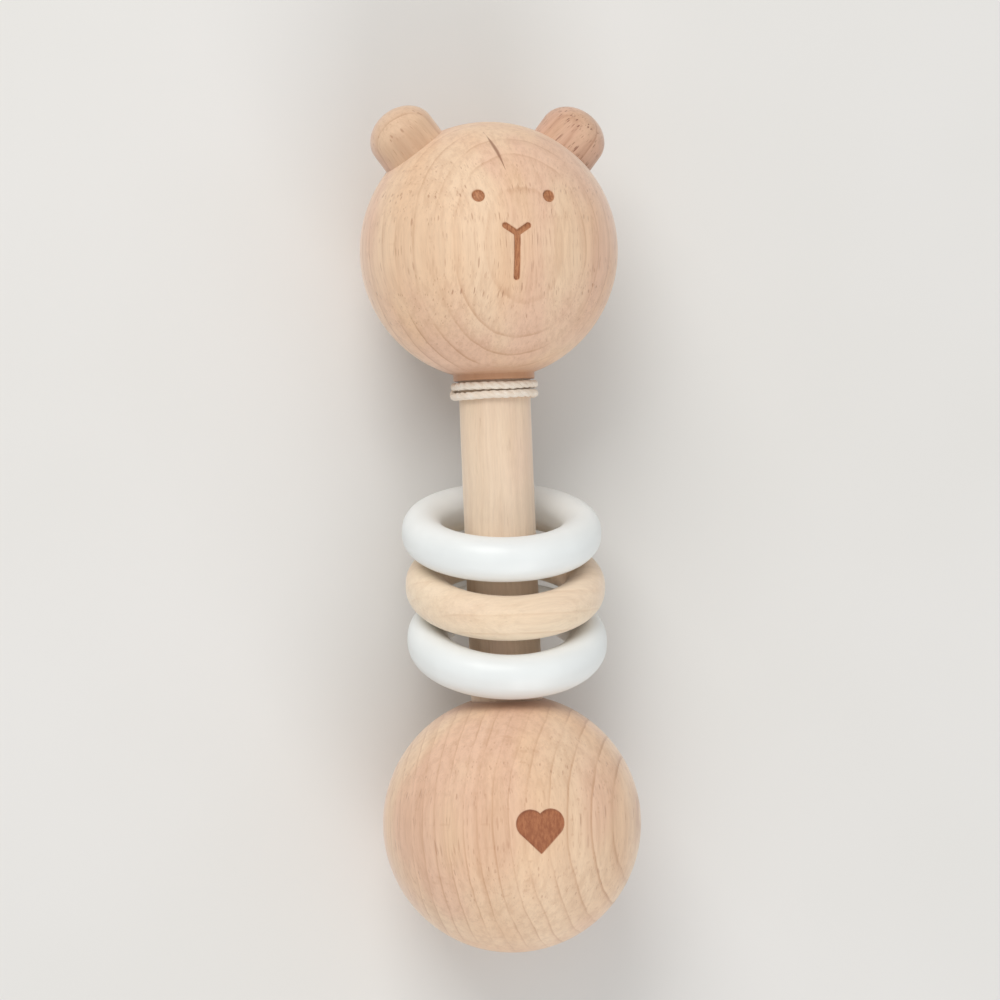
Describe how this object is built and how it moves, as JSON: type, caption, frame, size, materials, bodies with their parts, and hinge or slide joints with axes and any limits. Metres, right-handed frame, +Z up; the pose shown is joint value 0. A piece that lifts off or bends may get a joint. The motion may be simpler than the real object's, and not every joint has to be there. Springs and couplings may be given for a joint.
{
  "type": "baby rattle",
  "caption": "Wooden baby rattle: a ball with a carved bear face and round ears, a straight round handle with loose rings that slide and knock, and a plain ball at the other end.",
  "frame": {"origin": "on the surface that the rattle lies on, under the middle of its length, with both end balls touching that surface", "axes": "+X along the handle from the ball towards the bear's head, +Z up with the face looking up, +Y across"},
  "size_m": [0.158, 0.048, 0.048],
  "materials": {
    "beech": "fine sanded, oiled",
    "pale_beech": "fine sanded",
    "natural_ring": "smooth, satin",
    "white_lacquer": "gloss lacquer on wood",
    "cotton_cord": "twisted cotton"
  },
  "bodies": {
    "grip_body": {"head": "beech", "ear_left": "beech", "ear_right": "beech", "handle": "pale_beech", "ball": "beech", "neck_cord": "cotton_cord", "cord_knot": "cotton_cord"},
    "ring_bottom_body": {"ring_bottom": "white_lacquer"},
    "ring_middle_body": {"ring_middle": "natural_ring"},
    "ring_top_body": {"ring_top": "white_lacquer"}
  },
  "joints": [
    {"name": "ring_bottom_slide", "type": "slide", "parent": "grip_body", "child": "ring_bottom_body", "axis": [1, 0, 0], "range_m": [-0.0012, 0.01]},
    {"name": "ring_middle_slide", "type": "slide", "parent": "ring_bottom_body", "child": "ring_middle_body", "axis": [1, 0, 0], "range_m": [-0.0002, 0.007]},
    {"name": "ring_top_slide", "type": "slide", "parent": "ring_middle_body", "child": "ring_top_body", "axis": [1, 0, 0], "range_m": [-0.0003, 0.007]}
  ]
}
